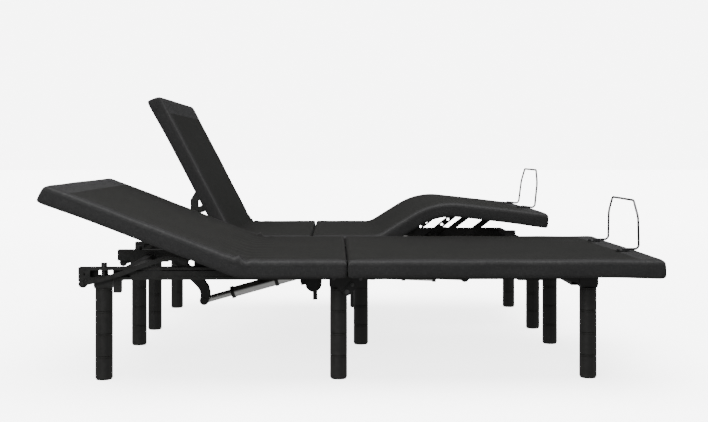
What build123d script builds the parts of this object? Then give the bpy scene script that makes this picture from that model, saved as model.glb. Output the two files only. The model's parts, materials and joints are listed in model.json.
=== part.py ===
from build123d import *
import os
from math import atan2, cos, degrees, hypot, radians, sin, tan

os.makedirs("parts", exist_ok=True)

# Driving dimensions, mm and degrees. X runs from head to foot, Y across the bed, Z is up from the floor.
frame_x = -21.0            # X of the lower frames' middle
unit_pitch = 975.0         # between the centre lines of the two single bases
deck_width = 965.0
deck_top = 408.0
pivot_z = 363.0            # height of the head and thigh hinges
deck_rise = deck_top - pivot_z
skirt_drop = -13.0         # skirt's lower edge, below the hinge line
skirt_wall = 15.0
board_low, board_high = 22.0, 37.0
knee_setback = 46.0        # boards stop short of the knee, so that the cover rounds over it
panel_bar = (7.0, 22.0)    # steel bars under the boards
corner_radius = 25.0

head_hinge = -344.0        # places along a carriage, from its deck gap
thigh_hinge = 283.0
head_length = 668.0
thigh_length = 268.0
calf_length = 463.0
deck_gap = 5.0
head_lift_max = 62.5
thigh_lift_max = 32.0
knee_bend_max = 38.5

rail_y = 310.5             # rail and leg row, from a base's centre line
rail_low, rail_high = 328.0, 369.0
rail_half_width = 18.0
rail_wall = 3.0
rail_lip = 9.0
rail_ends = (-882.0, 832.0)
leg_radius = 28.3
leg_height = 300.0
leg_x = 801.0
middle_leg_x = (-28.0, 61.0)
foot_pad_height = 4.0
segments_per_leg = 4
stud_radius = 5.0
pin_radius = 5.0
pin_clearance = 0.1

top_bar_y = (266.0, 291.0)
top_bar_z = (370.0, 384.5)
strap_y = (259.0, 265.0)
front_link_y = (251.0, 257.0)
calf_bar_y = (243.0, 249.0)
rear_link_y = (235.0, 241.0)
stay_y = (280.0, 286.0)
rear_lug_y = (227.0, 233.0)
head_link_y = (331.0, 343.0)
head_lug_y = (345.0, 350.0)

link_foot = (-866.0, 317.0)      # head link's lower pivot on the lower frame
link_length = 336.0
link_lift = 12.8                 # head link's slope with the head panel at 21.3 degrees
link_ratio = 0.558
head_motor_pivot = (-118.0, 324.0)
leg_motor_pivot = (70.0, 311.0)
head_lever_tip = (100.0, -197.0)
leg_lever_tip = (144.0, -67.0)
link_base_z = 350.0
rear_link_x = 450.0
front_link_x = 607.0
rear_link_length = 205.0
front_link_length = 187.0


def mean(pair):
    return (pair[0] + pair[1]) / 2


def on_side(side, pair):
    """A pair of distances from the centre line, on the side given by its sign."""
    return tuple(sorted((side * pair[0], side * pair[1])))


class Section:
    """Side-view frame of one moving section: u runs along it, v is square to it and up."""

    def __init__(self, x, z, y, lift=0.0, facing=1):
        self.x, self.z, self.y, self.lift, self.facing = x, z, y, lift, facing

    def plane(self, y):
        along = (self.facing * cos(radians(self.lift)), 0, sin(radians(self.lift)))
        return Plane(origin=(self.x, self.y + y, self.z), x_dir=along, z_dir=(0, -self.facing, 0))

    def point(self, u, v):
        """X and Z of a place in this section."""
        place = self.plane(0).from_local_coords(Vector(u, v, 0))
        return place.X, place.Z

    def space(self, u, y, v):
        return self.plane(y).from_local_coords(Vector(u, v, 0))


class Base:
    """One single-width base: its sections at the stored pose."""

    def __init__(self, name, y, travel, head_lift, thigh_lift, calf_lift):
        self.name = name
        self.frame = Section(frame_x, 0, y)
        self.carriage = Section(frame_x + travel, 0, y)
        gap_x = frame_x + travel
        self.head = Section(gap_x + head_hinge, pivot_z, y, head_lift, -1)
        self.thigh = Section(gap_x + thigh_hinge, pivot_z, y, thigh_lift)
        self.calf = Section(*self.thigh.point(thigh_length, 0), y, calf_lift)
        lift = link_lift + link_ratio * (head_lift - 21.3)
        self.head_link = Section(*self.frame.point(*link_foot), y, lift)
        self.rear_link = Section(*self.carriage.point(rear_link_x, link_base_z), y, 1.22 * thigh_lift)
        self.front_link = Section(*self.carriage.point(front_link_x, link_base_z), y, 1.16 * thigh_lift)
        self.head_drive, self.head_reach = self.drive(head_motor_pivot, self.head, head_lever_tip, -1)
        self.leg_drive, self.leg_reach = self.drive(leg_motor_pivot, self.thigh, leg_lever_tip, 1)

    def drive(self, motor_pivot, panel, lever_tip, facing):
        """Section along an actuator, from its motor pivot to the lever, and their distance."""
        start = self.carriage.point(*motor_pivot)
        end = panel.point(*lever_tip)
        run, rise = end[0] - start[0], end[1] - start[1]
        lift = degrees(atan2(rise, facing * run))
        return Section(*start, self.frame.y, lift, facing), hypot(run, rise)


bases = [
    Base("right", -unit_pitch / 2, 0.0, 21.3, 0.0, 0.0),
    Base("left", unit_pitch / 2, -135.0, 62.5, 32.0, -6.5),
]


def block(section, u, v, y, mode=Mode.ADD):
    """Box between two values each of u, v and y."""
    with BuildSketch(section.plane(mean(y))) as outline:
        with Locations((mean(u), mean(v))):
            Rectangle(u[1] - u[0], v[1] - v[0])
    extrude(outline.sketch, amount=(y[1] - y[0]) / 2, both=True, mode=mode)


def disc(section, centre, radius, y, mode=Mode.ADD):
    """Round piece with its axis across the bed."""
    with BuildSketch(section.plane(mean(y))) as outline:
        with Locations(centre):
            Circle(radius)
    extrude(outline.sketch, amount=(y[1] - y[0]) / 2, both=True, mode=mode)


def bolt_head(section, centre, radius, y):
    with BuildSketch(section.plane(mean(y))) as outline:
        with Locations(centre):
            RegularPolygon(radius, 6)
    extrude(outline.sketch, amount=(y[1] - y[0]) / 2, both=True)


def slab(section, points, y, mode=Mode.ADD):
    """Plate with a straight-sided outline."""
    with BuildSketch(section.plane(mean(y))) as outline:
        with BuildLine():
            Polyline(*points, close=True)
        make_face()
    extrude(outline.sketch, amount=(y[1] - y[0]) / 2, both=True, mode=mode)


def bent_bar(section, points, width, y):
    """Flat bar with round ends that follows a chain of points."""
    with BuildSketch(section.plane(mean(y))) as outline:
        for start, end in zip(points, points[1:]):
            run = Vector(*end) - Vector(*start)
            with Locations((mean((start[0], end[0])), mean((start[1], end[1])))):
                SlotCenterToCenter(run.length, width, rotation=degrees(atan2(run.Y, run.X)))
    extrude(outline.sketch, amount=(y[1] - y[0]) / 2, both=True)


def rod(section, u, radius, y=0.0, v=0.0, mode=Mode.ADD):
    """Round piece with its axis along the section."""
    plane = section.plane(y)
    origin = plane.from_local_coords(Vector(u[0], v, 0))
    with BuildSketch(Plane(origin=origin, x_dir=plane.z_dir, z_dir=plane.x_dir)) as outline:
        Circle(radius)
    extrude(outline.sketch, amount=u[1] - u[0], mode=mode)


def post(section, u, z, radius, y, mode=Mode.ADD):
    """Upright round piece."""
    place = section.space(u, y, z[0])
    with BuildSketch(Plane(origin=place, z_dir=(0, 0, 1))) as outline:
        Circle(radius)
    extrude(outline.sketch, amount=z[1] - z[0], mode=mode)


def legs():
    """Base, X and side of each leg: the two rows have their middle legs at different places."""
    for base in bases:
        for side, middle_x in zip((-1, 1), middle_leg_x):
            for x in (-leg_x, middle_x, leg_x):
                yield base, x, side


def rails():
    for base in bases:
        for side in (-1, 1):
            yield base, side


# Lower frames, legs and control boxes: they stand still

with BuildPart() as frame_rails:
    inner, outer = rail_y - rail_half_width, rail_y + rail_half_width
    for base, side in rails():
        for ends in ((rail_ends[0], -0.5), (0.5, rail_ends[1])):
            block(base.frame, ends, (rail_low, rail_high), on_side(side, (inner, outer)))
    for base, side in rails():
        cavity = on_side(side, (inner + rail_wall, outer - rail_wall))
        mouth = on_side(side, (outer - rail_wall, outer))
        block(base.frame, rail_ends, (rail_low + rail_wall, rail_high - rail_wall), cavity, Mode.SUBTRACT)
        block(base.frame, rail_ends, (rail_low + rail_lip, rail_high - rail_lip), mouth, Mode.SUBTRACT)
    for base, side in (bases[0], -1), (bases[1], 1):
        window = on_side(side, (inner - 1, inner + rail_wall))
        for centre, half_length in (-17.0, 5.0), (18.0, 8.0):
            ends = (-leg_x + centre - half_length, -leg_x + centre + half_length)
            block(base.frame, ends, (342.0, 357.0), window, Mode.SUBTRACT)
    for base, side in rails():
        ear = on_side(side, (outer - 4.0, outer))
        slab(base.frame, [(-882, 369), (-843, 369), (-843, 331), (-853, 312), (-866, 317), (-882, 325)], ear)
        disc(base.frame, link_foot, 14.5, ear)
        disc(base.frame, link_foot, pin_radius + pin_clearance, ear, Mode.SUBTRACT)
        disc(base.frame, (-862.0, 347.0), 3.5, ear, Mode.SUBTRACT)
    for base, x, side in legs():
        bore = stud_radius + pin_clearance
        top = rail_high + 1 if x == -leg_x else rail_low + rail_wall
        post(base.frame, x, (rail_low - 1, top), bore, side * rail_y, Mode.SUBTRACT)
frame_rails.part.label = "frame_rails"
export_step(frame_rails.part, "parts/frame_rails.step")

with BuildPart() as frame_crossbars:
    half_span = rail_y - rail_half_width - 0.5
    for base in bases:
        for x, low in ((-756.0, 326.0), (762.0, 303.0), (815.0, 303.0)):
            block(base.frame, (x - 12, x + 12), (low, low + 24.8), (-half_span, half_span))
            hollow = (low + 2.5, low + 22.3)
            block(base.frame, (x - 9.5, x + 9.5), hollow, (-half_span, half_span), Mode.SUBTRACT)
    for base, side in rails():
        flange = on_side(side, (half_span - 4, half_span))
        block(base.frame, (-776.0, -736.0), (324.0, 358.0), flange)
        block(base.frame, (755.0, 769.0), (323.0, 327.8), on_side(side, (half_span, half_span + 26)))
        block(base.frame, (-768.0, -740.0), (323.0, 327.8), on_side(side, (half_span + 12, half_span + 30)))
        hanger = on_side(side, (half_span + 26, half_span + 30))
        slab(base.frame, [(-768, 327.8), (-740, 327.8), (-740, 289), (-744, 285), (-768, 285)], hanger)
frame_crossbars.part.label = "frame_crossbars"
export_step(frame_crossbars.part, "parts/frame_crossbars.step")

with BuildPart() as leg_brackets:
    for base, x, side in legs():
        width = (side * rail_y - 17.5, side * rail_y + 17.5)
        foot = [(x - 31, 312), (x - 28, 300.2), (x + 28, 300.2), (x + 31, 312)]
        slab(base.frame, foot + [(x + 31, 327.8), (x - 31, 327.8)], width)
        if x == leg_x:
            rib = on_side(side, (rail_y + 10, rail_y + 14))
            slab(base.frame, [(x - 31, 327.8), (x - 86, 327.8), (x - 31, 311)], rib)
        bore = stud_radius + pin_clearance
        post(base.frame, x, (300.0, 328.0), bore, side * rail_y, Mode.SUBTRACT)
leg_brackets.part.label = "leg_brackets"
export_step(leg_brackets.part, "parts/leg_brackets.step")

segment_height = (leg_height - foot_pad_height) / segments_per_leg
socket_depth = 14.0

with BuildPart() as leg_segment:
    with BuildSketch(Plane.XZ):
        with BuildLine():
            Polyline(
                (0, 0),
                (leg_radius - 1.2, 0),
                (leg_radius, 1.2),
                (leg_radius, segment_height - 7.0),
                (leg_radius - 0.9, segment_height - 6.2),
                (leg_radius - 0.9, segment_height - 5.0),
                (leg_radius, segment_height - 4.2),
                (leg_radius, segment_height - 1.0),
                (leg_radius - 0.8, segment_height - 0.2),
                (0, segment_height - 0.2),
                close=True,
            )
        make_face()
    revolve(axis=Axis.Z)
    for level in (-1.0, segment_height - socket_depth):
        with BuildSketch(Plane.XY.offset(level)) as bore_outline:
            Circle(stud_radius + pin_clearance)
        extrude(bore_outline.sketch, amount=socket_depth + 1, mode=Mode.SUBTRACT)

with BuildPart() as leg_segments:
    for base, x, side in legs():
        for index in range(segments_per_leg):
            place = base.frame.space(x, side * rail_y, foot_pad_height + index * segment_height)
            with Locations(place):
                add(leg_segment.part)
leg_segments.part.label = "leg_segments"
export_step(leg_segments.part, "parts/leg_segments.step")

with BuildPart() as leg_studs:
    for base, x, side in legs():
        for index in range(1, segments_per_leg):
            joint_z = foot_pad_height + index * segment_height
            ends = (joint_z - socket_depth + 1, joint_z + socket_depth - 1)
            post(base.frame, x, ends, stud_radius, side * rail_y)
        top = rail_high if x == -leg_x else rail_low + 10
        post(base.frame, x, (leg_height - socket_depth + 1, top), stud_radius, side * rail_y)
        if x == -leg_x:
            post(base.frame, x, (rail_high + 0.1, rail_high + 14), 10.0, side * rail_y)
            post(base.frame, x, (rail_high - 1, rail_high + 1), stud_radius, side * rail_y)
leg_studs.part.label = "leg_studs"
export_step(leg_studs.part, "parts/leg_studs.step")

with BuildPart() as leg_foot_pads:
    for base, x, side in legs():
        post(base.frame, x, (0.0, foot_pad_height), leg_radius - 2.5, side * rail_y)
leg_foot_pads.part.label = "leg_foot_pads"
export_step(leg_foot_pads.part, "parts/leg_foot_pads.step")

fold_axis = (0.0, 290.0)
fold_second = (17.0, 313.0)
fold_plate_y = ((340.0, 344.0), (344.5, 348.5))

with BuildPart() as fold_hinge_plates:
    for base, side in rails():
        inner_y, outer_y = (on_side(side, pair) for pair in fold_plate_y)
        slab(base.frame, [(-58, 342), (26, 342), (26, 316), (9, 282), (-9, 282), (-58, 326)], inner_y)
        bent_bar(base.frame, [fold_axis, (44, 336)], 26, outer_y)
        slab(base.frame, [(14, 342), (66, 342), (66, 311), (61, 306), (20, 306)], outer_y)
        for plate_y in (inner_y, outer_y):
            disc(base.frame, fold_axis, pin_radius + pin_clearance, plate_y, Mode.SUBTRACT)
fold_hinge_plates.part.label = "fold_hinge_plates"
export_step(fold_hinge_plates.part, "parts/fold_hinge_plates.step")

with BuildPart() as fold_hinge_bolts:
    for base, side in rails():
        disc(base.frame, fold_axis, pin_radius, on_side(side, (339.4, 349.0)))
        bolt_head(base.frame, fold_axis, 8.5, on_side(side, (349.0, 354.0)))
        bolt_head(base.frame, fold_second, 6.5, on_side(side, (348.5, 352.5)))
        for direction, plate_y in zip((-1, 1), fold_plate_y):
            disc(base.frame, (direction * 44, 333), 5.5, on_side(side, (328.5, plate_y[0])))
            bolt_head(base.frame, (direction * 44, 333), 6.5, on_side(side, (plate_y[1], plate_y[1] + 4)))
fold_hinge_bolts.part.label = "fold_hinge_bolts"
export_step(fold_hinge_bolts.part, "parts/fold_hinge_bolts.step")

with BuildPart() as control_boxes:
    for base in bases:
        block(base.frame, (610, 749.5), (293, 318), (-75, 75))
        fillet(control_boxes.edges().filter_by(Axis.Z).filter_by(lambda e: e.length > 24), 6)
        for socket_y in (-45, -15, 15, 45):
            block(base.frame, (608, 616), (300, 311), (socket_y - 7, socket_y + 7), Mode.SUBTRACT)
control_boxes.part.label = "control_boxes"
export_step(control_boxes.part, "parts/control_boxes.step")


# Sliding carriage: rails, crossbars, slide blocks and the fixed deck

side_bar_y = (317.0, 324.0)
side_bar_z = (334.0, 357.0)
side_bar_ends = (-715.0, 893.0)
bracket_places = (-330.0, 330.0, 620.0)


def make_carriage_rails(base):
    with BuildPart() as carriage_rails:
        for side in (-1, 1):
            start, end = side_bar_ends
            radius = (side_bar_z[1] - side_bar_z[0]) / 2
            line = [(start + radius, mean(side_bar_z)), (end - radius, mean(side_bar_z))]
            bent_bar(base.carriage, line, 2 * radius, on_side(side, side_bar_y))
            block(base.carriage, (head_hinge - 164, end), top_bar_z, on_side(side, top_bar_y))
            stay_low = [(head_hinge, 371), (head_hinge, 351), (head_hinge - 190, 351)]
            stay_high = [(head_hinge - 215, 369.4), (head_hinge - 164, 369.4), (head_hinge - 164, 371)]
            slab(base.carriage, stay_low + stay_high, on_side(side, stay_y))
            for place in bracket_places:
                ends = (place - 15, place + 15)
                block(base.carriage, ends, (341.0, 353.0), on_side(side, (side_bar_y[1], 330.0)))
                block(base.carriage, ends, (338.0, top_bar_z[1]), on_side(side, (329.5, 333.5)))
                block(base.carriage, ends, (371.0, top_bar_z[1]), on_side(side, (top_bar_y[1], 333.5)))
            for hinge in (head_hinge, thigh_hinge):
                block(base.carriage, (hinge - 12, hinge + 12), (351.0, 371.0), on_side(side, top_bar_y))
                bore = pin_radius + pin_clearance
                disc(base.carriage, (hinge, pivot_z), bore, on_side(side, top_bar_y), Mode.SUBTRACT)
            hanger_x = (rear_link_x - 15, rear_link_x + 15)
            block(base.carriage, hanger_x, (336.0, 371.0), on_side(side, top_bar_y))
            lug = (front_link_x - 15, front_link_x + 15)
            block(base.carriage, lug, (320.0, 371.0), on_side(side, top_bar_y))
            rear_pin = (rear_link_y[0] - 1, top_bar_y[0])
            front_pin = (front_link_y[0] - 1, top_bar_y[0])
            disc(base.carriage, (rear_link_x, link_base_z), pin_radius, on_side(side, rear_pin))
            disc(base.carriage, (front_link_x, link_base_z), pin_radius, on_side(side, front_pin))
    carriage_rails.part.label = f"{base.name}_carriage_rails"
    export_step(carriage_rails.part, f"parts/{base.name}_carriage_rails.step")


def make_carriage_crossbars(base):
    inner = top_bar_y[0]
    with BuildPart() as carriage_crossbars:
        for x in (-290.0, 240.0, 880.0):
            block(base.carriage, (x - 12, x + 12), top_bar_z, (-inner, inner))
        block(base.carriage, (front_link_x - 12, front_link_x + 12), (320.0, 334.0), (-inner, inner))
        for pivot, width in ((head_motor_pivot, 40.0), (leg_motor_pivot, 40.0)):
            x, z = pivot
            block(base.carriage, (x - width / 2, x + width / 2), top_bar_z, (-inner, inner))
            for side in (-1, 1):
                cheek = on_side(side, (15.0, 19.0))
                slab(base.carriage, [(x - 18, 371), (x + 18, 371), (x + 12, z - 6), (x - 12, z - 6)], cheek)
                disc(base.carriage, (x, z), 13.4, cheek)
                disc(base.carriage, (x, z), pin_radius + pin_clearance, cheek, Mode.SUBTRACT)
    carriage_crossbars.part.label = f"{base.name}_carriage_crossbars"
    export_step(carriage_crossbars.part, f"parts/{base.name}_carriage_crossbars.step")


def make_slide_blocks(base):
    with BuildPart() as slide_blocks:
        for side in (-1, 1):
            for x in (-640.0, -240.0, 240.0, 760.0):
                ends = (x - 30, x + 30)
                outer = on_side(side, (side_bar_y[0] - 0.4, side_bar_y[1] + 0.4))
                slot = on_side(side, (side_bar_y[0] - 0.5, side_bar_y[1] + 0.5))
                block(base.carriage, ends, (331.4, 365.6), outer)
                block(base.carriage, ends, (side_bar_z[0] - 0.1, side_bar_z[1] + 0.1), slot, Mode.SUBTRACT)
    slide_blocks.part.label = f"{base.name}_slide_blocks"
    export_step(slide_blocks.part, f"parts/{base.name}_slide_blocks.step")


def make_board(name, section, u):
    half = deck_width / 2 - skirt_wall - 2
    with BuildPart() as board:
        block(section, u, (board_low, board_high), (-half, half))
    board.part.label = name
    export_step(board.part, f"parts/{name}.step")


def wedge(angle, height):
    """Setback of a panel's end face that leaves room for its neighbour to tilt towards it."""
    return 1.5 + abs(height) * tan(radians(angle / 2 + 0.75))


def make_pad(name, section, start, end, start_angle=0.0, end_angle=0.0, end_skirt=False):
    """Padded cover: a top layer and the skirts that hang round the board. A positive angle sets
    the upper end back, a negative one the lower end."""
    low, high = skirt_drop, deck_rise
    start_low = start + wedge(-min(start_angle, 0), low)
    start_high = start + wedge(max(start_angle, 0), high)
    end_low = end if end_skirt else end - wedge(-min(end_angle, 0), low)
    end_high = end if end_skirt else end - wedge(max(end_angle, 0), high)
    start_mid = start + (0 if start_angle == 0 else 1.5)
    end_mid = end - (0 if end_skirt or end_angle == 0 else 1.5)
    outline = [(start_low, low), (start_mid, 0), (start_high, high)]
    outline += [(end_high, high), (end_mid, 0), (end_low, low)]
    half = deck_width / 2
    with BuildPart() as pad:
        slab(section, outline, (-half, half))
        if end_skirt:
            along = Axis(section.space(0, 0, 0), section.plane(0).x_dir)
            upright = pad.edges().group_by(along)[-1].filter_by(lambda edge: edge.length < 80)
            fillet(upright, corner_radius)
        inner_end = end - skirt_wall if end_skirt else end + 40
        inner_half = half - skirt_wall
        hollow = (low - 5, board_high)
        block(section, (start - 40, inner_end), hollow, (-inner_half, inner_half), Mode.SUBTRACT)
    pad.part.label = name
    export_step(pad.part, f"parts/{name}.step")


def make_deck(base):
    level = Section(base.carriage.x, pivot_z, base.carriage.y)
    half_gap = deck_gap / 2
    half = deck_width / 2 - skirt_wall - 2
    with BuildPart() as seat_boards:
        block(level, (head_hinge + 26, -half_gap - 1), (board_low, board_high), (-half, half))
        block(level, (half_gap + 1, thigh_hinge - 14), (board_low, board_high), (-half, half))
    seat_boards.part.label = f"{base.name}_seat_boards"
    export_step(seat_boards.part, f"parts/{base.name}_seat_boards.step")
    make_pad(f"{base.name}_seat_pad", level, head_hinge, -half_gap + 1.5, head_lift_max)
    make_pad(f"{base.name}_mid_pad", level, half_gap - 1.5, thigh_hinge, 0.0, thigh_lift_max)
    make_board(f"{base.name}_head_board", base.head, (26, head_length - skirt_wall - 2))
    make_pad(f"{base.name}_head_pad", base.head, 0.0, head_length, head_lift_max, end_skirt=True)
    make_board(f"{base.name}_thigh_board", base.thigh, (14, thigh_length - knee_setback))
    make_pad(f"{base.name}_thigh_pad", base.thigh, 0.0, thigh_length, thigh_lift_max, -knee_bend_max)
    make_board(f"{base.name}_calf_board", base.calf, (knee_setback, calf_length - skirt_wall - 2))
    make_pad(f"{base.name}_calf_pad", base.calf, 0.0, calf_length, -knee_bend_max, end_skirt=True)


# Steel frames of the moving panels

fork_y = (14.0, 19.0)


def hinge_strap(section, side, hinge_u, ends, strap, pin):
    """Bar along one side of a panel, with an ear and a pin at its hinge."""
    block(section, ends, panel_bar, on_side(side, strap))
    disc(section, (hinge_u, 0), 12, on_side(side, strap))
    block(section, (hinge_u - 12, hinge_u + 12), (0, panel_bar[0] + 1), on_side(side, strap))
    disc(section, (hinge_u, 0), pin_radius, on_side(side, pin))


def lever(section, points, width):
    """Pair of curved plates that the actuator's rod pulls between."""
    for side in (-1, 1):
        bent_bar(section, points, width, on_side(side, fork_y))
        disc(section, points[-1], 16, on_side(side, fork_y))
        bolt_head(section, points[-1], 8, on_side(side, (fork_y[1], fork_y[1] + 5)))


def make_head_frame(base):
    lug_u, lug_v = 185.0, -40.0
    with BuildPart() as head_frame:
        for side in (-1, 1):
            hinge_strap(base.head, side, 0, (-12, 612), strap_y, (strap_y[0] - 2, top_bar_y[1] - 1))
            block(base.head, (lug_u - 15, lug_u + 15), panel_bar, on_side(side, (strap_y[1], head_lug_y[1])))
            bent_bar(base.head, [(lug_u, panel_bar[0]), (lug_u, lug_v)], 28, on_side(side, head_lug_y))
            disc(base.head, (lug_u, lug_v), pin_radius, on_side(side, (head_link_y[1] + 0.6, head_lug_y[0])))
            bolt_head(base.head, (lug_u, lug_v), 8, on_side(side, (head_lug_y[1], head_lug_y[1] + 5)))
        for u in (275.0, 600.0):
            block(base.head, (u - 12, u + 12), panel_bar, (-strap_y[0], strap_y[0]))
        upper = [(275, 5), (268, -50), (238, -98), (190, -122), (153, -136)]
        lower = [(134, -145), (117, -156), (106, -172), (101, -186)]
        lever(base.head, upper + lower + [head_lever_tip], 32)
    head_frame.part.label = f"{base.name}_head_frame"
    export_step(head_frame.part, f"parts/{base.name}_head_frame.step")


def make_thigh_frame(base):
    with BuildPart() as thigh_frame:
        for side in (-1, 1):
            ends = (-12, thigh_length + 12)
            hinge_strap(base.thigh, side, 0, ends, strap_y, (strap_y[0] - 2, top_bar_y[1] - 1))
            disc(base.thigh, (thigh_length, 0), 12, on_side(side, strap_y))
            ear = (thigh_length - 12, thigh_length + 12)
            block(base.thigh, ear, (0, panel_bar[0] + 1), on_side(side, strap_y))
            bore = pin_radius + pin_clearance
            disc(base.thigh, (thigh_length, 0), bore, on_side(side, strap_y), Mode.SUBTRACT)
        for u in (75.0, 235.0):
            block(base.thigh, (u - 12, u + 12), panel_bar, (-strap_y[0], strap_y[0]))
        lever(base.thigh, [(75, 7), (98, -34), leg_lever_tip], 28)
    thigh_frame.part.label = f"{base.name}_thigh_frame"
    export_step(thigh_frame.part, f"parts/{base.name}_thigh_frame.step")


def make_calf_frame(base):
    with BuildPart() as calf_frame:
        for side in (-1, 1):
            hinge_strap(base.calf, side, 0, (-12, 300), calf_bar_y, (calf_bar_y[0], strap_y[1]))
            bent_bar(base.calf, [(246, 8), (246, -17)], 26, on_side(side, calf_bar_y))
            disc(base.calf, (246, -17), pin_radius, on_side(side, (calf_bar_y[1], front_link_y[0] - 0.6)))
            bent_bar(base.calf, [(102, 8), (102, -14)], 26, on_side(side, rear_lug_y))
            disc(base.calf, (102, -14), pin_radius, on_side(side, (rear_lug_y[1], rear_link_y[0] - 0.6)))
        for u in (102.0, 285.0):
            block(base.calf, (u - 12, u + 12), panel_bar, (-calf_bar_y[0], calf_bar_y[0]))
    calf_frame.part.label = f"{base.name}_calf_frame"
    export_step(calf_frame.part, f"parts/{base.name}_calf_frame.step")


# Links

def make_head_link_arms(base):
    points = [(0, 0), (60, 0), (120, 3), (160, 8), (197, 13), (235, 17), (266, 19), (294, 18), (318, 11)]
    with BuildPart() as head_link_arms:
        for side in (-1, 1):
            bent_bar(base.head_link, points + [(link_length, 0)], 15, on_side(side, head_link_y))
            for u in (0, link_length):
                disc(base.head_link, (u, 0), 12, on_side(side, head_link_y))
            disc(base.head_link, (link_length, 0), pin_radius + 1, on_side(side, head_link_y), Mode.SUBTRACT)
            disc(base.head_link, (0, 0), pin_radius, on_side(side, (324.6, head_link_y[0])))
            bolt_head(base.head_link, (0, 0), 8, on_side(side, (head_link_y[1], head_link_y[1] + 5)))
    head_link_arms.part.label = f"{base.name}_head_link_arms"
    export_step(head_link_arms.part, f"parts/{base.name}_head_link_arms.step")


def make_calf_links(base, place, section, length, width, link_y, hole_count):
    with BuildPart() as calf_links:
        for side in (-1, 1):
            bent_bar(section, [(0, 0), (length, 0)], width, on_side(side, link_y))
            for u in (0, length):
                disc(section, (u, 0), pin_radius + pin_clearance, on_side(side, link_y), Mode.SUBTRACT)
            for index in range(hole_count):
                u = length * (index + 1) / (hole_count + 1)
                disc(section, (u, 0), 5.5, on_side(side, link_y), Mode.SUBTRACT)
    calf_links.part.label = f"{base.name}_{place}_calf_links"
    export_step(calf_links.part, f"parts/{base.name}_{place}_calf_links.step")


# Actuators: motor and gearbox, outer tube, and the rod that slides out of it

tube_radius = 19.0
tube_bore = 12.5
rod_radius = 12.0
rod_length = 215.0
gearbox_radius = 24.0
gearbox_half = 13.0
barrel_centre = (11.0, -45.0)
barrel_radius = 29.0


def make_actuator(base, place, section, reach, tube_end, barrel):
    with BuildPart() as motor:
        disc(section, (0, 0), gearbox_radius, (-gearbox_half, gearbox_half))
        block(section, (0, 34), (-22, 22), (-gearbox_half, gearbox_half))
        if barrel:
            slab(section, [(-12, 0), (34, 0), (40, -44), (-16, -44)], (-gearbox_half, gearbox_half))
            disc(section, barrel_centre, barrel_radius, (-38, 50))
            disc(section, barrel_centre, barrel_radius - 9, (-42, 54))
            block(section, (36, 56), (-42, -24), (-gearbox_half, gearbox_half))
            slab(section, [(5, -68), (22, -73), (30, -103), (14, -107)], (-8.5, 8.5))
        else:
            rod(section, (24, 140), 23, y=34)
            block(section, (20, 60), (-14, 14), (0, 30))
        rod(section, (34, 141), tube_radius, mode=Mode.SUBTRACT)
        disc(section, (0, 0), pin_radius, (-19.5, 19.5))
        for u in (132.0, tube_end - 12):
            rod(section, (u, u + 12), tube_radius + 3)
            rod(section, (u - 1, u + 13), tube_radius + 0.1, mode=Mode.SUBTRACT)
    motor.part.label = f"{base.name}_{place}_motor"
    export_step(motor.part, f"parts/{base.name}_{place}_motor.step")

    with BuildPart() as tube:
        rod(section, (34, tube_end), tube_radius - 0.1)
        rod(section, (35, tube_end + 1), tube_bore, mode=Mode.SUBTRACT)
    tube.part.label = f"{base.name}_{place}_actuator_tube"
    export_step(tube.part, f"parts/{base.name}_{place}_actuator_tube.step")

    with BuildPart() as piston:
        rod(section, (reach - 14 - rod_length, reach - 10), rod_radius)
        disc(section, (reach, 0), 15, (-13.4, 13.4))
    piston.part.label = f"{base.name}_{place}_actuator_rod"
    export_step(piston.part, f"parts/{base.name}_{place}_actuator_rod.step")


# Mattress retainer at the foot

def make_retainer(base):
    wire_radius = 4.0
    half_width, shoulder_half, top_half = 201.0, 194.0, 138.0
    wire_v = deck_rise + 3.5 + wire_radius
    shoulder_v, top_v = deck_rise + 115, deck_rise + 172
    clip_u, bend_u = 395.0, 452.0
    corners = [
        (clip_u, -half_width, wire_v),
        (bend_u, -half_width, wire_v),
        (bend_u, -shoulder_half, shoulder_v),
        (bend_u, -top_half, top_v),
        (bend_u, top_half, top_v),
        (bend_u, shoulder_half, shoulder_v),
        (bend_u, half_width, wire_v),
        (clip_u, half_width, wire_v),
    ]
    with BuildPart() as retainer:
        with BuildLine() as route:
            path = [base.calf.space(*corner) for corner in corners]
            FilletPolyline(*path, radius=[15, 48, 26, 26, 48, 15])
        start = base.calf.space(*corners[0])
        with BuildSketch(Plane(origin=start, z_dir=base.calf.plane(0).x_dir)):
            Circle(wire_radius)
        sweep(path=route.line)
        for side in (-1, 1):
            clip_y = on_side(side, (half_width - 13, half_width + 9))
            block(base.calf, (clip_u - 22, clip_u + 22), (deck_rise + 0.2, deck_rise + 3.2), clip_y)
            disc_u = clip_u - 14
            place = base.calf.space(disc_u, side * half_width, deck_rise + 3)
            with BuildSketch(Plane(origin=place, z_dir=base.calf.plane(0).y_dir)) as screw:
                RegularPolygon(6, 6)
            extrude(screw.sketch, amount=4)
    retainer.part.label = f"{base.name}_mattress_retainer"
    export_step(retainer.part, f"parts/{base.name}_mattress_retainer.step")


for base in bases:
    make_carriage_rails(base)
    make_carriage_crossbars(base)
    make_slide_blocks(base)
    make_deck(base)
    make_head_frame(base)
    make_thigh_frame(base)
    make_calf_frame(base)
    make_head_link_arms(base)
    make_calf_links(base, "rear", base.rear_link, rear_link_length, 24, rear_link_y, 5)
    make_calf_links(base, "front", base.front_link, front_link_length, 24, front_link_y, 0)
    make_actuator(base, "head", base.head_drive, base.head_reach, 306.0, True)
    make_actuator(base, "leg", base.leg_drive, base.leg_reach, 254.0, False)
    make_retainer(base)
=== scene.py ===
import json
import math

import bpy
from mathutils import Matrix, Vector, noise


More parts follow.
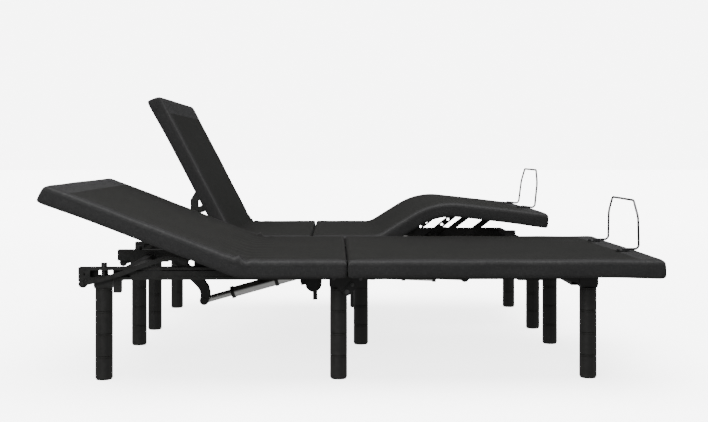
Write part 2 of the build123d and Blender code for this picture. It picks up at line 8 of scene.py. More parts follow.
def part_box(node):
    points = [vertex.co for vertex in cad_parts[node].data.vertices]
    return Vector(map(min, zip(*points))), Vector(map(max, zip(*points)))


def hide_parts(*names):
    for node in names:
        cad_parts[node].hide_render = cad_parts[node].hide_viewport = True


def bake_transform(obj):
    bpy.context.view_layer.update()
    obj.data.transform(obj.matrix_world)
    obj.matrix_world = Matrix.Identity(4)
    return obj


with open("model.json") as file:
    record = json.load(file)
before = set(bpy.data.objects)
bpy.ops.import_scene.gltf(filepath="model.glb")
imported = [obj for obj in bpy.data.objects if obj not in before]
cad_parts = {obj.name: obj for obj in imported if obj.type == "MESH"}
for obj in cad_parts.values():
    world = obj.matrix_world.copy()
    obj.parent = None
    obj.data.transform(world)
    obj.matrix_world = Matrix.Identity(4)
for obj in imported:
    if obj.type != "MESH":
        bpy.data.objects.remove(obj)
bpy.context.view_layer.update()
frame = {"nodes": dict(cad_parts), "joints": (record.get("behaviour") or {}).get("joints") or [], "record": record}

JOINTS = {joint["name"]: joint for joint in frame["joints"]}
RATIOS = {pair["joint"]: pair["ratio"] for pair in frame["record"]["behaviour"]["couplings"]}
SIDES = ("right", "left")

# Lengths of the deck and where its covers meet, metres
HEAD_LENGTH = 0.672
CALF_LENGTH = 0.463
SPLIT_PAST_THIGH = 0.104     # where the middle and the calf covers meet, flat on the thigh board
GAP_CLEARANCE = 0.0015       # the covers stop this far short of the deck's gap

# Bends of the deck
FULL_HEAD_LIFT = 62.5        # degrees
FULL_KNEE_BEND = 38.5
HEAD_TURN = (0.022, 0.040)   # half length of cover that turns at the head hinge, panel flat and fully up
THIGH_TURN = 0.040
KNEE_TURN = 0.095

# Top, walls and hem of a cover
END_BAND = 0.080             # linen band across the head end and the foot end
BORDER = 0.030               # linen border along the sides of the top
EDGE_IN = 0.034              # the top rolls over its sides, this far in and this far down
EDGE_DOWN = 0.017
END_EDGE_IN = 0.020          # tighter at the head end and the foot end
GAP_EDGE_IN = 0.009          # tighter still, and shallower, at the deck's gap
GAP_EDGE_DOWN = 0.5
EDGE_TURN = 0.03             # the roll changes from the side's to the end's over this length
LOWEST_TOP = 0.02
WALL_STEPS = 7
HEM_ROUND = 0.009            # the wall turns in under the deck over this height
HEM_THICKNESS = 0.014
HEM_SECTION = (              # share of the thickness inwards, and height above the hem
    (0.06, 0.5 * HEM_ROUND), (0.22, 0.17 * HEM_ROUND), (0.48, 0.0), (0.8, 0.0010), (1.0, 0.005),
)
HEM_DIP = 0.0045             # the hem hangs lower towards the head end and the foot end
HEM_DIP_REACH = 0.11
INNER_WALL_TOP = 0.016
LINING_TOP = 0.0385
GAP_WALL_BOTTOM = 0.0245     # the walls at the deck's gap stop above the rails, except at their two ends
GAP_WALL_END = 0.03
GAP_WALL_RISE = 0.04

# By the wall at a cover's end: corner radius in plan, and how far the foot of the wall stands out
CORNERS = {"head": 0.014, "foot": 0.022, "gap": 0.012, None: 0.0}
FLARES = {"head": 0.006, "foot": 0.002, "gap": 0.0, None: 0.0}
FREE_ENDS = ("head", "foot")

# Grid of a cover: distances of its lines from a wall and from a free end, and its steps elsewhere
EDGE_LINES = (
    0.0, 0.0007, 0.0025, 0.0055, 0.0095, 0.014, 0.0185, 0.023, 0.027, 0.030, 0.034, 0.039, 0.046, 0.058,
)
BAND_LINES = (0.072, 0.077, 0.080, 0.083, 0.088)
LENGTH_STEP = 0.016
WIDTH_STEP = 0.018
STEP_SPARE = 0.3             # a gap this part of a step too long isn't divided
SMALLEST_STEP = 0.0009
HEAD_LINES = (0.09, 0.006)   # half length and step of the finer lines at a hinge
THIGH_LINES = (0.06, 0.006)
KNEE_LINES = (0.12, 0.007)
HINGE_LINE_MARGIN = 0.06

# Squeeze of the cloth at the hinges, from 0 to 1, and its reach along the deck
FLAT_HEAD_STRAIN = 0.45
THIGH_STRAIN = 0.8
HEAD_REACH, KNEE_REACH, THIGH_REACH = 0.075, 0.10, 0.06

# Relief of the top: heights, reaches and wave lengths
TOP_SINK, SINK_REACH = 0.0040, 0.060
SEAM_DEPTH, SEAM_WIDTH = 0.0012, 0.0028
TOP_SWELL = 0.0009
BORDER_SWELL, BORDER_SWELL_PLACE, BORDER_SWELL_REACH = 0.0011, 0.02, 0.03
END_SWELL, END_SWELL_PLACE, END_SWELL_REACH = 0.0026, 0.05, 0.09
HINGE_WAVE, HINGE_WAVE_LENGTH, HINGE_WAVE_PLACE, HINGE_WAVE_REACH = 0.0034, 0.058, 0.02, 0.050
BUNCH = 0.020                # fold of slack cloth on each side of the head hinge
BUNCH_PLACE, BUNCH_WIDTH, BUNCH_SHIFT = 0.013, 0.012, 0.4
BUNCH_SIDE_PLACE, BUNCH_SIDE_REACH = 0.016, 0.020
RIPPLE, RIPPLE_LENGTH = 0.0012, 0.085

# Relief of the walls
WALL_BULGE, WALL_SWELL = 0.0016, 0.0010
RUFFLE, RUFFLE_LENGTH = 0.0042, 0.019
WALL_FOLD, WALL_FOLD_LENGTH = 0.0022, 0.06
GATHER, GATHER_PLACE, GATHER_WIDTH = 0.0035, 0.055, 0.013
GATHER_LEVEL, GATHER_DEPTH = 0.75, 0.45
SIDE_WALL = 0.004            # places nearer than this to a side are on its wall


# Materials

def grey(value):
    return value, value, value


class Tree:
    """Node tree of a material or world, with short ways to add to it."""

    def __init__(self, owner):
        owner.use_nodes = True
        self.nodes, self.links = owner.node_tree.nodes, owner.node_tree.links

    def feed(self, socket, value):
        """Links a socket to another node's output, or sets its value."""
        if isinstance(value, bpy.types.NodeSocket):
            self.links.new(value, socket)
        else:
            socket.default_value = value

    def fill(self, made, inputs):
        for name, value in inputs.items():
            self.feed(made.inputs[name], value)

    def add(self, kind, inputs=None, **settings):
        made = self.nodes.new(kind)
        for name, value in settings.items():
            setattr(made, name, value)
        self.fill(made, inputs or {})
        return made

    def mapped_noise(self, source, stretch, detail=3.0):
        """Noise texture on a coordinate stretched by three factors."""
        mapped = self.add("ShaderNodeMapping", {"Scale": stretch, "Vector": source}).outputs["Vector"]
        inputs = {"Scale": 1.0, "Detail": detail, "Vector": mapped}
        return self.add("ShaderNodeTexNoise", inputs).outputs["Fac"]

    def calculate(self, operation, first, second):
        made = self.add("ShaderNodeMath", operation=operation)
        for socket, value in zip(made.inputs, (first, second)):
            self.feed(socket, value)
        return made.outputs[0]

    def ramp(self, source, stops):
        made = self.add("ShaderNodeValToRGB", {"Fac": source})
        while len(made.color_ramp.elements) < len(stops):
            made.color_ramp.elements.new(0.5)
        for element, (place, colour) in zip(made.color_ramp.elements, stops):
            element.position = place
            element.color = (*colour, 1.0)
        return made.outputs["Color"]

    def bump(self, shader, height, strength, distance):
        inputs = {"Strength": strength, "Distance": distance, "Height": height}
        self.feed(shader.inputs["Normal"], self.add("ShaderNodeBump", inputs).outputs["Normal"])

    def weave(self, source, pitch):
        """Threads both ways, the given pitch apart."""
        inputs = {
            "Scale": 2 * math.pi / (20 * pitch), "Distortion": 1.2, "Detail": 1.0, "Detail Scale": 0.3,
            "Vector": source,
        }
        warp, weft = (self.add("ShaderNodeTexWave", inputs, bands_direction=way) for way in "XY")
        return self.calculate("MULTIPLY", warp.outputs["Fac"], weft.outputs["Fac"])


def new_material(name):
    material = bpy.data.materials.new(name)
    tree = Tree(material)
    return material, tree, tree.nodes["Principled BSDF"]


LINEN_TONES = [
    (0.36, (0.029, 0.029, 0.0295)), (0.50, (0.041, 0.041, 0.0415)), (0.64, (0.062, 0.0615, 0.062)),
]
LINEN_FINISH = {
    "Roughness": 0.9, "Specular IOR Level": 0.25,
    "Sheen Weight": 0.12, "Sheen Roughness": 0.4, "Sheen Tint": (0.6, 0.6, 0.62, 1),
}
THREAD_PITCH = 0.0018
# Painted highlight along the rolled sides of the top: how strongly it shows by the distance from the middle of a
# deck, and how much lighter it makes the linen
RIM_HIGHLIGHT_MASK = [(0.4680, grey(0)), (0.4735, grey(1)), (0.4760, grey(1)), (0.4815, grey(0))]
RIM_HIGHLIGHT_GAIN = 2.0


def linen_fabric():
    """Charcoal weave with slubs both ways, with a painted highlight along the sides of the top."""
    material, tree, shader = new_material("linen_weave")
    flat = tree.add("ShaderNodeUVMap", uv_map="flat").outputs["UV"]
    along = tree.mapped_noise(flat, (60, 760, 1), 4.0)
    across = tree.mapped_noise(flat, (760, 60, 1), 4.0)
    mottle = tree.mapped_noise(flat, (9, 9, 1))
    slubs = tree.calculate("ADD", along, across)
    tone = tree.calculate("ADD", slubs, tree.calculate("MULTIPLY", mottle, 0.4))
    tone = tree.calculate("MULTIPLY", tone, 0.42)
    weave_colour = tree.ramp(tone, LINEN_TONES)
    parts = tree.add("ShaderNodeSeparateXYZ", {0: flat})
    from_middle = tree.calculate("ABSOLUTE", parts.outputs["Y"], 0.0)
    # painted highlight: the linen colour is multiplied lighter in a strip along the sides of the top
    rim_highlight_mix = tree.add("ShaderNodeMix", data_type="RGBA", blend_type="MULTIPLY")
    rim_highlight_ramp = tree.ramp(from_middle, RIM_HIGHLIGHT_MASK)
    tree.fill(rim_highlight_mix, {0: rim_highlight_ramp, "A": weave_colour, "B": (*grey(RIM_HIGHLIGHT_GAIN), 1)})
    tree.fill(shader, {"Base Color": rim_highlight_mix.outputs["Result"], **LINEN_FINISH})
    tree.bump(shader, tree.calculate("ADD", tree.weave(flat, THREAD_PITCH), slubs), 0.7, 0.0006)
    return material


TOP_TONES = [
    (0.35, (0.0140, 0.0141, 0.0127)), (0.52, (0.0178, 0.0180, 0.0164)), (0.7, (0.0225, 0.0227, 0.0208)),
]
TOP_FINISH = {
    "Roughness": 0.85, "Specular IOR Level": 0.22,
    "Sheen Weight": 0.06, "Sheen Roughness": 0.4, "Sheen Tint": (0.62, 0.62, 0.6, 1),
}
KNIT_PITCH = 0.0011


def smooth_fabric():
    """Close-knit dark top cloth."""
    material, tree, shader = new_material("top_cloth")
    flat = tree.add("ShaderNodeUVMap", uv_map="flat").outputs["UV"]
    mottle = tree.mapped_noise(flat, (6, 6, 1), 5.0)
    grain = tree.mapped_noise(flat, (420, 420, 1), 2.0)
    tone = tree.calculate("ADD", tree.calculate("MULTIPLY", mottle, 0.7), grain)
    tone = tree.calculate("MULTIPLY", tone, 0.6)
    tree.fill(shader, {"Base Color": tree.ramp(tone, TOP_TONES), **TOP_FINISH})
    tree.bump(shader, tree.calculate("ADD", tree.weave(flat, KNIT_PITCH), grain), 0.45, 0.0003)
    return material


GRAIN_STRETCH = (700, 700, 700)
GRAIN_DEPTH = 0.0002


def textured(name, stops, roughness, metallic=0.0, stretch=(60, 60, 60), grain=0.0):
    """Solid material whose colour and roughness vary with noise, with a fine surface grain."""
    material, tree, shader = new_material(name)
    place = tree.add("ShaderNodeTexCoord").outputs["Object"]
    tone = tree.mapped_noise(place, stretch, 4.0)
    low, high = roughness
    limits = {"From Min": 0.3, "From Max": 0.7, "To Min": low, "To Max": high}
    spread = tree.add("ShaderNodeMapRange", {"Value": tone, **limits}).outputs["Result"]
    tree.fill(shader, {"Base Color": tree.ramp(tone, stops), "Roughness": spread, "Metallic": metallic})
    if grain:
        tree.bump(shader, tree.mapped_noise(place, GRAIN_STRETCH, 2.0), grain, GRAIN_DEPTH)
    return material


LINEN = linen_fabric()
TOP_CLOTH = smooth_fabric()
POWDER = textured(
    "black_powder_coat", [(0.35, (0.012, 0.012, 0.0115)), (0.65, (0.019, 0.019, 0.018))],
    roughness=(0.32, 0.44), grain=0.35,
)
LEG_PLASTIC = textured(
    "leg_plastic", [(0.3, (0.016, 0.0158, 0.0148)), (0.7, (0.024, 0.0237, 0.0222))],
    roughness=(0.36, 0.5), grain=0.25,
)
MOULDED = textured(
    "moulded_plastic", [(0.3, grey(0.010)), (0.7, grey(0.016))], roughness=(0.4, 0.55), grain=0.4,
)
BLACK_ZINC = textured(
    "black_zinc", [(0.3, grey(0.06)), (0.7, grey(0.14))], roughness=(0.28, 0.42), metallic=0.9, grain=0.1,
)
POLISHED = textured(
    "polished_tube", [(0.3, (0.56, 0.56, 0.55)), (0.7, (0.66, 0.66, 0.65))],
    roughness=(0.16, 0.24), metallic=1.0, stretch=(14, 140, 140),
)
GROUND_STEEL = textured(
    "ground_steel", [(0.3, (0.50, 0.50, 0.49)), (0.7, (0.62, 0.62, 0.61))],
    roughness=(0.22, 0.32), metallic=1.0, stretch=(20, 220, 220),
)
CHROME = textured(
    "dark_chrome", [(0.3, (0.13, 0.13, 0.135)), (0.7, (0.30, 0.30, 0.31))],
    roughness=(0.06, 0.12), metallic=1.0,
)
BOARD = textured(
    "black_faced_board", [(0.3, (0.014, 0.013, 0.012)), (0.7, (0.026, 0.024, 0.021))],
    roughness=(0.55, 0.75), stretch=(6, 90, 6), grain=0.3,
)

# A name that starts with an underscore is there for both sides
NODE_MATERIALS = {
    POWDER: (
        "frame_rails", "frame_crossbars", "leg_brackets", "fold_hinge_plates", "_carriage_rails",
        "_carriage_crossbars", "_head_frame", "_thigh_frame", "_calf_frame", "_head_link_arms",
        "_rear_calf_links", "_front_calf_links",
    ),
    LEG_PLASTIC: ("leg_segments",),
    MOULDED: ("leg_foot_pads", "control_boxes", "_slide_blocks", "_head_motor", "_leg_motor"),
    BLACK_ZINC: ("leg_studs", "fold_hinge_bolts"),
    POLISHED: ("_head_actuator_tube", "_leg_actuator_tube"),
    GROUND_STEEL: ("_head_actuator_rod", "_leg_actuator_rod"),
    CHROME: ("_mattress_retainer",),
    BOARD: ("_seat_boards", "_head_board", "_thigh_board", "_calf_board"),
}


def dress_nodes():
    for material, names in NODE_MATERIALS.items():
        for name in names:
            prefixes = SIDES if name.startswith("_") else ("",)
            for prefix in prefixes:
                mesh = frame["nodes"][prefix + name].data
                mesh.materials.clear()
                mesh.materials.append(material)


# Covers

class Deck:
    """Where a point of one base's flat deck lies at the stored pose. u is measured from the deck's
    gap towards the foot, and v up from the hinge line."""

    def __init__(self, side):
        self.side = side
        low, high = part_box(f"{side}_seat_pad")
        head, thigh, calf = (JOINTS[f"{side}_{name}"] for name in ("head_tilt", "thigh_lift", "calf_bend"))
        mid_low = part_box(f"{side}_mid_pad")[0]
        self.y = (low[1] + high[1]) / 2
        self.half_width = (high[1] - low[1]) / 2
        self.gap_x = (high[0] + mid_low[0]) / 2
        self.half_gap = (mid_low[0] - high[0]) / 2 + GAP_CLEARANCE
        self.pivot_z = head["pos_m"][2]
        self.top = high[2] - self.pivot_z
        self.wall_top = self.top - EDGE_DOWN
        self.hem = low[2] - self.pivot_z
        self.head_u = head["pos_m"][0] - self.gap_x
        self.thigh_u = thigh["pos_m"][0] - self.gap_x
        knee = Vector(calf["pos_m"]) - Vector(thigh["pos_m"])
        self.thigh_length = math.hypot(knee.x, knee.z)
        self.head_lift = -math.radians(head["range_deg"][0])
        share = self.head_lift / math.radians(FULL_HEAD_LIFT)
        self.head_turn = HEAD_TURN[0] + share * (HEAD_TURN[1] - HEAD_TURN[0])
        self.thigh_lift = -math.radians(thigh["range_deg"][0])
        self.knee_bend = self.thigh_lift * RATIOS[f"{side}_calf_bend"]
        self.knee_u = self.thigh_u + self.thigh_length

    def place(self, u, v):
        """X and Z of a point of the deck."""
        if u < self.head_u + self.head_turn:
            along, up = turn(self.head_u - u, v, self.head_lift, self.head_turn)
            return self.gap_x + self.head_u - along, self.pivot_z + up
        if u < self.thigh_u - THIGH_TURN:
            return self.gap_x + u, self.pivot_z + v
        past = u - self.thigh_u
        if past < THIGH_TURN:
            along, up = turn(past, v, self.thigh_lift, THIGH_TURN)
        else:
            along, up = turn(past - self.thigh_length, v, self.knee_bend, KNEE_TURN)
            along, up = turned(self.thigh_length + along, up, self.thigh_lift)
        return self.gap_x + self.thigh_u + along, self.pivot_z + up

    def point(self, u, y, v):
        x, z = self.place(u, v)
        return x, self.y + y, z


def turned(along, up, angle):
    sine, cosine = math.sin(angle), math.cos(angle)
    return along * cosine - up * sine, along * sine + up * cosine


def turn(past, up, angle, half):
    """A point past (or before) a hinge, on a strip that bends in an arc of the given half length."""
    if past <= -half or abs(angle) < 1e-5:
        return past, up
    if past >= half:
        return turned(past, up, angle)
    radius = half / math.tan(angle / 2)
    part = angle * (past + half) / (2 * half)
    return -half + (radius - up) * math.sin(part), radius - (radius - up) * math.cos(part)


def grid_lines(start, end, start_wall, end_wall, step, hinges=()):
    """Places of the grid's lines: close together at a wall and round each hinge."""
    places = set()
    for wall, corner, sign in ((start_wall, start, 1), (end_wall, end, -1)):
        offsets = EDGE_LINES if wall else (0.0,)
        if wall in FREE_ENDS:
            offsets += BAND_LINES
        places.update(round(corner + sign * offset, 6) for offset in offsets)
    for centre, (half, fine) in hinges:
        for index in range(round(2 * half / fine) + 1):
            place = centre - half + index * fine
            if start + HINGE_LINE_MARGIN < place < end - HINGE_LINE_MARGIN:
                places.add(round(place, 6))
    ordered = sorted(places)
    filled = [ordered[0]]
    for place in ordered[1:]:
        last = filled[-1]
        gap = place - last
        if gap < SMALLEST_STEP:
            continue
        count = max(1, math.ceil(gap / step - STEP_SPARE))
        filled.extend(last + gap * part / count for part in range(1, count + 1))
    return filled


def soft_noise(*place):
    """Smooth noise between -1 and 1. Each part of the place is a length times a frequency, or a seed."""
    return noise.noise(Vector(place))


def smooth(value):
    value = min(1.0, max(0.0, value))
    return value * value * (3 - 2 * value)


def bell(value, width):
    return math.exp(-((value / width) ** 2))


class Cover:
    """Padded cover over part of a deck: a top with rounded edges, walls down to the hem, and a lining."""

    def __init__(self, deck, start, end, start_wall, end_wall):
        self.deck, self.start, self.end = deck, start, end
        self.walls = {-1: start_wall, 1: end_wall}
        half = deck.half_width
        hinges = ((deck.head_u, HEAD_LINES), (deck.thigh_u, THIGH_LINES), (deck.knee_u, KNEE_LINES))
        self.u_lines = grid_lines(start, end, start_wall, end_wall, LENGTH_STEP, hinges)
        self.y_lines = grid_lines(-half, half, "side", "side", WIDTH_STEP)
        self.vertices, self.flat, self.faces, self.linen = [], [], [], []

    def end_sign(self, u):
        return 1 if u > (self.start + self.end) / 2 else -1

    def plan(self, u, y):
        """Rounds the grid's corners. Returns the place, its outward direction, and its distances from
        the nearest edge and from the nearest side."""
        half = self.deck.half_width
        end_sign = self.end_sign(u)
        end_u = self.end if end_sign > 0 else self.start
        radius = CORNERS[self.walls[end_sign]]
        to_end = end_sign * (end_u - u)
        to_side = half - abs(y)
        side_sign = 1 if y > 0 else -1
        if to_end < radius and to_side < radius:
            a, b = 1 - to_end / radius, 1 - to_side / radius
            out_u, out_y = a * math.sqrt(1 - b * b / 2), b * math.sqrt(1 - a * a / 2)
            reach = max(math.hypot(out_u, out_y), 1e-9)
            place = (end_u - end_sign * radius * (1 - out_u), side_sign * (half - radius * (1 - out_y)))
            direction = (end_sign * out_u / reach, side_sign * out_y / reach)
            return place, direction, radius * (1 - reach), radius * (1 - out_y)
        if self.walls[end_sign] and to_end < to_side:
            return (u, y), (end_sign, 0), to_end, to_side
        return (u, y), (0, side_sign), to_side, to_side

    def inner(self, u, y):
        """Place of a point of the lining: the outline drawn in by the hem's thickness."""
        half = self.deck.half_width
        low = self.start + (HEM_THICKNESS if self.walls[-1] else 0)
        high = self.end - (HEM_THICKNESS if self.walls[1] else 0)
        share = (u - self.start) / (self.end - self.start)
        return low + share * (high - low), y * (half - HEM_THICKNESS) / half

    def to_free_end(self, u):
        ends = {-1: u - self.start, 1: self.end - u}
        return min([ends[sign] for sign, wall in self.walls.items() if wall in FREE_ENDS], default=1.0)

    def strain(self, u):
        """How much the cloth is squeezed at u by the head, knee and thigh bends at the stored pose."""
        deck = self.deck
        head = abs(deck.head_lift) / math.radians(FULL_HEAD_LIFT)
        knee = abs(deck.knee_bend) / math.radians(FULL_KNEE_BEND)
        return (
            min(1.0, FLAT_HEAD_STRAIN + head) * bell(u - deck.head_u, HEAD_REACH),
            knee * bell(u - deck.knee_u, KNEE_REACH),
            THIGH_STRAIN * knee * bell(u - deck.thigh_u, THIGH_REACH),
        )

    def roll(self, u, edge, side_edge):
        """How far down the rolled edge a point is, from 0 to 1."""
        ends = {-1: u - self.start, 1: self.end - u}
        to_end, wall = min((ends[sign], wall) for sign, wall in self.walls.items() if wall)
        share = smooth((side_edge - to_end) / EDGE_TURN) if to_end <= edge + 1e-6 else 0.0
        end_in, end_down = (GAP_EDGE_IN, GAP_EDGE_DOWN) if wall == "gap" else (END_EDGE_IN, 1.0)
        past = min(1.0, max(0.0, 1 - edge / (EDGE_IN + share * (end_in - EDGE_IN))))
        return (1 + share * (end_down - 1)) * (1 - math.sqrt(1 - past * past))

    def relief(self, u, y, edge, side_edge):
        """Height of the top cloth above the flat deck."""
        deck = self.deck
        head, _, thigh = self.strain(u)
        calm = min(1.0, edge / BORDER)
        height = -TOP_SINK * (1 - math.exp(-max(edge - BORDER, 0) / SINK_REACH))
        height -= SEAM_DEPTH * bell(side_edge - BORDER, SEAM_WIDTH)
        height += calm * TOP_SWELL * soft_noise(u * 4.5, y * 5.5, deck.y)
        swell = soft_noise(u * 11, side_edge * 8, 3 + deck.y)
        height += BORDER_SWELL * swell * bell(side_edge - BORDER_SWELL_PLACE, BORDER_SWELL_REACH)
        swell = soft_noise(y * 3.4, u * 2.2, 11 + deck.y)
        height += END_SWELL * swell * bell(self.to_free_end(u) - END_SWELL_PLACE, END_SWELL_REACH)
        from_head = u - deck.head_u
        wave = math.cos(2 * math.pi * from_head / HINGE_WAVE_LENGTH + 3 * soft_noise(u * 6, y * 2, 7))
        height += HINGE_WAVE * head * wave * bell(side_edge - HINGE_WAVE_PLACE, HINGE_WAVE_REACH)
        bunch = bell(from_head + BUNCH_PLACE + BUNCH_SHIFT * (deck.head_turn - HEAD_TURN[0]), BUNCH_WIDTH)
        at_side = bell(side_edge - BUNCH_SIDE_PLACE, BUNCH_SIDE_REACH)
        height += BUNCH * bunch * at_side * HEAD_TURN[0] / deck.head_turn
        ripple = math.cos(2 * math.pi * y / RIPPLE_LENGTH + 5 * soft_noise(y * 3, u * 5, 9))
        return height + RIPPLE * (head + thigh) * ripple * calm

    def wall_relief(self, u, y, level):
        """How far the wall bulges outwards at a level from 0, at its top, to 1, at the hem."""
        head, knee, thigh = self.strain(u)
        bulge = WALL_BULGE * math.sin(math.pi * min(1.0, level))
        bulge += WALL_SWELL * soft_noise(u * 9, level * 2, y * 9)
        ruffle = math.sin(2 * math.pi * u / RUFFLE_LENGTH + 4 * soft_noise(u * 12, level, 5))
        bulge += RUFFLE * knee * ruffle * level ** 1.5
        fold = math.sin(2 * math.pi * u / WALL_FOLD_LENGTH + 3 * soft_noise(u * 7, level * 1.5, 2))
        bulge += WALL_FOLD * (head + thigh) * fold * (1 - 0.5 * level)
        if self.deck.half_width - abs(y) < SIDE_WALL:
            gather = bell(self.to_free_end(u) - GATHER_PLACE, GATHER_WIDTH)
            bulge -= GATHER * gather * bell(level - GATHER_LEVEL, GATHER_DEPTH)
        return bulge

    def add_vertex(self, u, y, v, flat):
        self.vertices.append(self.deck.point(u, y, v))
        self.flat.append(flat)
        return len(self.vertices) - 1

    def add_face(self, corners, linen):
        self.faces.append(corners)
        self.linen.append(linen)

    def top_vertex(self, u, y):
        place, _, edge, side_edge = self.plan(u, y)
        drop = EDGE_DOWN * self.roll(place[0], edge, side_edge)
        height = self.deck.top - drop + self.relief(*place, edge, side_edge)
        return self.add_vertex(*place, max(height, LOWEST_TOP), place)

    def lining_vertex(self, u, y):
        place = self.plan(u, y)[0]
        return self.add_vertex(*self.inner(*place), LINING_TOP, place)

    def wall_vertex(self, u, y, inset, v):
        """Vertex of the wall at height v under a grid place, moved in by a share of the hem's thickness."""
        place, (out_u, out_y), _, _ = self.plan(u, y)
        pu, py = place
        iu, iy = self.inner(pu, py)
        deck = self.deck
        depth = deck.top - v
        level = (deck.wall_top - v) / (deck.wall_top - deck.hem)
        end_wall = self.walls[self.end_sign(u)]
        bulge = self.wall_relief(pu, py, level) * (1 - inset)
        flare = FLARES[end_wall] * min(1.0, max(0.0, level)) ** 2 * (1 - inset)
        dip = HEM_DIP * bell(self.to_free_end(pu), HEM_DIP_REACH) * max(0.0, level) ** 2 * (inset < 1)
        if end_wall == "gap" and out_u:
            share = smooth((deck.half_width - abs(py) - GAP_WALL_END) / GAP_WALL_RISE)
            dip -= share * level * (GAP_WALL_BOTTOM - deck.hem)
        wall_u = pu + inset * (iu - pu) + out_u * (bulge + flare)
        wall_y = py + inset * (iy - py) + out_y * bulge
        return self.add_vertex(wall_u, wall_y, v - dip, (pu + out_u * depth, py + out_y * depth))

    def sheet(self, vertex):
        """Rows of vertices over the grid, made by the given method."""
        return [[vertex(u, y) for y in self.y_lines] for u in self.u_lines]

    def skin(self, rows, flip, linen_rule):
        for i, (first, second) in enumerate(zip(rows, rows[1:])):
            for j in range(len(first) - 1):
                corners = (first[j], second[j], second[j + 1], first[j + 1])
                mid_u = (self.u_lines[i] + self.u_lines[i + 1]) / 2
                mid_y = (self.y_lines[j] + self.y_lines[j + 1]) / 2
                self.add_face(tuple(reversed(corners)) if flip else corners, linen_rule(mid_u, mid_y))

    def on_linen(self, u, y):
        return self.deck.half_width - abs(y) < BORDER or self.to_free_end(u) < END_BAND

    def rim(self):
        """Grid places along the walls, in order, as (row, column), and whether they close up."""
        last_row, last_column = len(self.u_lines) - 1, len(self.y_lines) - 1
        low_side = [(i, 0) for i in range(last_row + 1)]
        high_side = [(i, last_column) for i in range(last_row + 1)]
        end_row = [(last_row, j) for j in range(1, last_column)]
        start_row = [(0, j) for j in range(1, last_column)]
        if self.walls[-1] and self.walls[1]:
            return low_side + end_row + high_side[::-1] + start_row[::-1], True
        if self.walls[1]:
            return low_side + end_row + high_side[::-1], False
        return high_side[::-1] + start_row[::-1] + low_side, False

    def wall_levels(self):
        """Levels down the outside of the wall, round the hem and up its inside: inset and height."""
        wall_top, hem = self.deck.wall_top, self.deck.hem
        fall = hem + HEM_ROUND - wall_top
        levels = [(0.0, wall_top + fall * step / WALL_STEPS) for step in range(1, WALL_STEPS + 1)]
        levels += [(inset, hem + rise) for inset, rise in HEM_SECTION]
        return levels + [(1.0, INNER_WALL_TOP)]

    def build(self, name):
        top = self.sheet(self.top_vertex)
        lining = self.sheet(self.lining_vertex)
        self.skin(top, False, self.on_linen)
        self.skin(lining, True, lambda u, y: False)
        places, closed = self.rim()
        strips = [[top[i][j] for i, j in places]]
        for inset, v in self.wall_levels():
            strips.append([self.wall_vertex(self.u_lines[i], self.y_lines[j], inset, v) for i, j in places])
        strips.append([lining[i][j] for i, j in places])
        count = len(places) if closed else len(places) - 1
        for upper, lower in zip(strips, strips[1:]):
            for this in range(count):
                following = (this + 1) % len(places)
                self.add_face((upper[this], lower[this], lower[following], upper[following]), True)
        return self.to_object(name)

    def to_object(self, name):
        mesh = bpy.data.meshes.new(name)
        mesh.from_pydata(self.vertices, [], self.faces)
        mesh.materials.append(TOP_CLOTH)
        mesh.materials.append(LINEN)
        mesh.polygons.foreach_set("material_index", [int(linen) for linen in self.linen])
        mesh.polygons.foreach_set("use_smooth", [True] * len(self.faces))
        layer = mesh.uv_layers.new(name="flat")
        for loop in mesh.loops:
            layer.data[loop.index].uv = self.flat[loop.vertex_index]
        mesh.update()
        cover = bpy.data.objects.new(name, mesh)
        bpy.context.scene.collection.objects.link(cover)
        return cover


def blend_over(cover, deck, body_b, hinge_u, half):
    """Bakes the cover's placement into its mesh. The cover already bends across the hinge at hinge_u, as its deck
    places it.
    """
    towards = -1 if body_b == "head" else 1
    start, end = (deck.point(hinge_u + sign * towards * half, 0, 0) for sign in (-1, 1))
    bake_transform(cover)


def finish_cover(cover, *nodes):
    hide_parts(*nodes)


def make_covers(side):
    deck = Deck(side)
    head_end = deck.head_u - HEAD_LENGTH
    foot_end = deck.knee_u + CALF_LENGTH
    split = deck.thigh_u + SPLIT_PAST_THIGH

    upper = Cover(deck, head_end, -deck.half_gap, "head", "gap").build(f"{side}_head_and_seat_cover")
    blend_over(upper, deck, "head", deck.head_u, deck.head_turn)
    finish_cover(upper, f"{side}_head_pad", f"{side}_seat_pad")

    middle = Cover(deck, deck.half_gap, split, "gap", None).build(f"{side}_middle_cover")
    blend_over(middle, deck, "thigh", deck.thigh_u, THIGH_TURN)
    finish_cover(middle, f"{side}_mid_pad", f"{side}_thigh_pad")

    lower = Cover(deck, split, foot_end, None, "foot").build(f"{side}_calf_cover")
    blend_over(lower, deck, "calf", deck.knee_u, KNEE_TURN)
    finish_cover(lower, f"{side}_calf_pad")


# Floor, light and camera

SWEEP_STRENGTH = 8.0         # white floor and backdrop, as the camera sees them
BACKDROP_GAIN = 1.10
FLOOR_SIZE = 80
FLOOR_Z = -0.0005
FLOOR_TONES = [(0.3, grey(0.90)), (0.7, grey(0.94))]
FLOOR_REACH = 38.0           # the floor's glow makes up for the wash's fall-off out to here
FLOOR_STOPS = (0.0, 0.1, 0.2, 0.3, 0.45, 0.7, 1.0)
WASH_HEIGHT = 7.0
WASH_SHARE = 0.50            # part of the floor's light that objects can shade
FILL_SHARE = 0.070           # part of the floor's light that comes from the fill
FILL_STRENGTH = 0.62
FILL_TONES = [(0.0, grey(0.25)), (0.5, grey(0.5)), (1.0, grey(1.0))]
# What shiny surfaces reflect: the white floor below, a dim room, the lamps above
GLOSS_TONES = [
    (0.0, grey(0.42)), (0.40, (0.38, 0.38, 0.375)), (0.50, grey(0.15)), (0.62, grey(0.14)),
    (1.0, grey(0.62)),
]
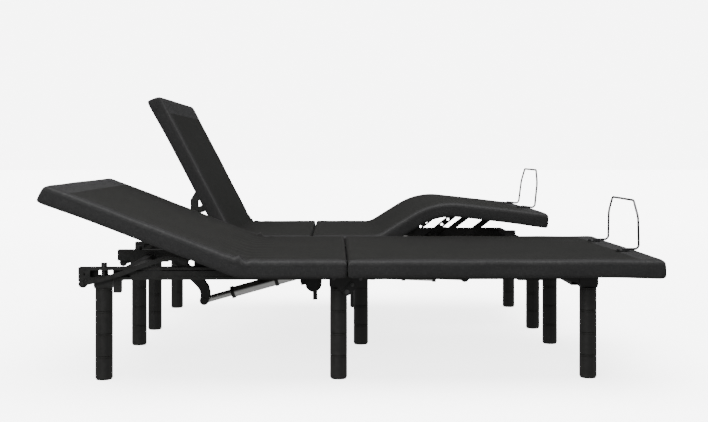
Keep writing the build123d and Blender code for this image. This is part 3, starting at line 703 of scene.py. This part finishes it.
# Place, target, size and power of each lamp
OVERHEAD = ((-0.4, -0.2, 3.6), (0, 0, 0.3), (3.6, 3.0), 40)
FRONT = ((-1.8, -4.6, 2.4), (0, 0, 0.3), (2.2, 1.6), 92)
WASH = ((0, 0, WASH_HEIGHT), (0, 0, 0), (9.0, 9.0), 2000)
CAMERA_PLACE = (-0.060, -4.2668, 0.7474)
CAMERA_YAW = math.radians(-1.026)
CAMERA_LENS = 53.26
CAMERA_SENSOR = 36
CAMERA_SHIFT = -0.083


def make_floor():
    """Pale floor that glows where the wash light doesn't reach, so that it looks evenly white."""
    bpy.ops.mesh.primitive_plane_add(size=FLOOR_SIZE, location=(0, 0, FLOOR_Z))
    floor = bpy.context.object
    floor.name = "floor"
    floor.visible_diffuse = False
    floor.visible_glossy = False
    material, tree, shader = new_material("pale_floor")
    place = tree.add("ShaderNodeTexCoord").outputs["Object"]
    tone = tree.mapped_noise(place, (0.5, 0.5, 0.5))
    far = tree.add("ShaderNodeVectorMath", {0: place}, operation="LENGTH")
    reach = tree.calculate("DIVIDE", far.outputs["Value"], FLOOR_REACH)
    glow = []
    for part in FLOOR_STOPS:
        lit = WASH_SHARE / (1 + (part * FLOOR_REACH / WASH_HEIGHT) ** 2) ** 2
        glow.append((part, grey(1 - lit - FILL_SHARE)))
    tree.fill(shader, {
        "Base Color": tree.ramp(tone, FLOOR_TONES), "Roughness": 0.9, "Specular IOR Level": 0.0,
        "Emission Color": tree.ramp(reach, glow), "Emission Strength": SWEEP_STRENGTH,
    })
    floor.data.materials.append(material)
    return floor


def make_world():
    """White studio surround: a soft fill, brighter from above, in front of a white sweep."""
    world = bpy.data.worlds.new("studio")
    bpy.context.scene.world = world
    tree = Tree(world)
    heading = tree.add("ShaderNodeSeparateXYZ", {0: tree.add("ShaderNodeTexCoord").outputs["Generated"]})
    raised = tree.calculate("MULTIPLY", heading.outputs["Z"], 0.5)
    raised = tree.calculate("ADD", raised, 0.5)
    fill = tree.nodes["Background"]
    tree.fill(fill, {"Strength": FILL_STRENGTH, "Color": tree.ramp(raised, FILL_TONES)})
    sweep = tree.add("ShaderNodeBackground", {"Strength": SWEEP_STRENGTH * BACKDROP_GAIN})
    gloss = tree.add("ShaderNodeBackground", {"Color": tree.ramp(raised, GLOSS_TONES)})
    path = tree.add("ShaderNodeLightPath").outputs
    lit = fill.outputs[0]
    for ray, background in (("Is Glossy Ray", gloss), ("Is Camera Ray", sweep)):
        lit = tree.add("ShaderNodeMixShader", {0: path[ray], 1: lit, 2: background.outputs[0]}).outputs[0]
    tree.feed(tree.nodes["World Output"].inputs["Surface"], lit)


def area_light(name, place, target, size, power):
    light = bpy.data.lights.new(name, "AREA")
    light.shape = "RECTANGLE"
    light.size, light.size_y = size
    light.energy = power
    lamp = bpy.data.objects.new(name, light)
    lamp.location = place
    lamp.rotation_euler = (Vector(target) - Vector(place)).to_track_quat("-Z", "Y").to_euler()
    bpy.context.scene.collection.objects.link(lamp)
    return lamp


def make_lights(floor):
    area_light("overhead", *OVERHEAD)
    area_light("front", *FRONT)
    wash = area_light("floor_wash", *WASH)
    receivers = bpy.data.collections.new("floor_wash_receivers")
    receivers.objects.link(floor)
    wash.light_linking.receiver_collection = receivers


def make_camera():
    data = bpy.data.cameras.new("camera")
    data.lens = CAMERA_LENS
    data.sensor_width = CAMERA_SENSOR
    data.shift_y = CAMERA_SHIFT
    camera = bpy.data.objects.new("camera", data)
    camera.location = CAMERA_PLACE
    camera.rotation_euler = (math.radians(90), 0, CAMERA_YAW)
    bpy.context.scene.collection.objects.link(camera)
    bpy.context.scene.camera = camera


make_camera()
dress_nodes()
for base_side in SIDES:
    make_covers(base_side)
make_world()
make_lights(make_floor())
